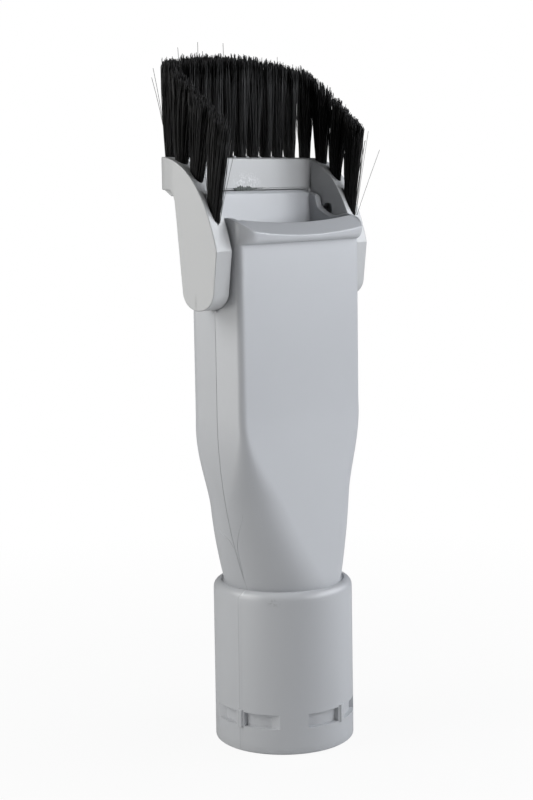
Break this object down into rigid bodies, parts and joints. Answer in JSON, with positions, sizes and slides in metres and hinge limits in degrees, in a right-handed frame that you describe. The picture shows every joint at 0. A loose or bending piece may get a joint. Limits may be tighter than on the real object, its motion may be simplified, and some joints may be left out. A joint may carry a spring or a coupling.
{
  "type": "vacuum brush nozzle",
  "caption": "Narrow suction nozzle with a round socket collar, a wide flat mouth with a flared lip, and a hinged U-shaped frame of stiff black bristles round its back and sides.",
  "frame": {"origin": "centre of the round socket's bottom rim, on the surface that the nozzle stands on", "axes": "+Z along the socket's axis, from the socket up to the mouth and the bristles; -Y is the front, on the side of the flared lip; X runs along the wide mouth and the brush frame's hinge"},
  "size_m": [0.072, 0.04, 0.1947],
  "materials": {
    "body_grey": "satin moulded light grey plastic",
    "frame_grey": "satin moulded light grey plastic, slightly warmer",
    "bristle_black": "black synthetic bristle filaments",
    "anchor_metal": "plain drawn metal strip, hidden in the tuft holes"
  },
  "bodies": {
    "nozzle": {"nozzle_body": "body_grey"},
    "brush": {"brush_frame": "frame_grey", "bristle_tuft_01": "bristle_black", "bristle_tuft_02": "bristle_black", "bristle_tuft_03": "bristle_black", "bristle_tuft_04": "bristle_black", "bristle_tuft_05": "bristle_black", "bristle_tuft_06": "bristle_black", "bristle_tuft_07": "bristle_black", "bristle_tuft_08": "bristle_black", "bristle_tuft_09": "bristle_black", "bristle_tuft_10": "bristle_black", "bristle_tuft_11": "bristle_black", "bristle_tuft_12": "bristle_black", "bristle_tuft_13": "bristle_black", "bristle_tuft_14": "bristle_black", "bristle_tuft_15": "bristle_black", "bristle_tuft_16": "bristle_black", "bristle_tuft_17": "bristle_black", "tuft_anchor_01": "anchor_metal", "tuft_anchor_02": "anchor_metal", "tuft_anchor_03": "anchor_metal", "tuft_anchor_04": "anchor_metal", "tuft_anchor_05": "anchor_metal", "tuft_anchor_06": "anchor_metal", "tuft_anchor_07": "anchor_metal", "tuft_anchor_08": "anchor_metal", "tuft_anchor_09": "anchor_metal", "tuft_anchor_10": "anchor_metal", "tuft_anchor_11": "anchor_metal", "tuft_anchor_12": "anchor_metal", "tuft_anchor_13": "anchor_metal", "tuft_anchor_14": "anchor_metal", "tuft_anchor_15": "anchor_metal", "tuft_anchor_16": "anchor_metal", "tuft_anchor_17": "anchor_metal"}
  },
  "joints": [
    {"name": "brush_hinge", "type": "hinge", "parent": "nozzle", "child": "brush", "pos_m": [0, 0, 0.1315], "axis": [1, 0, 0], "range_deg": [0, 175]}
  ]
}
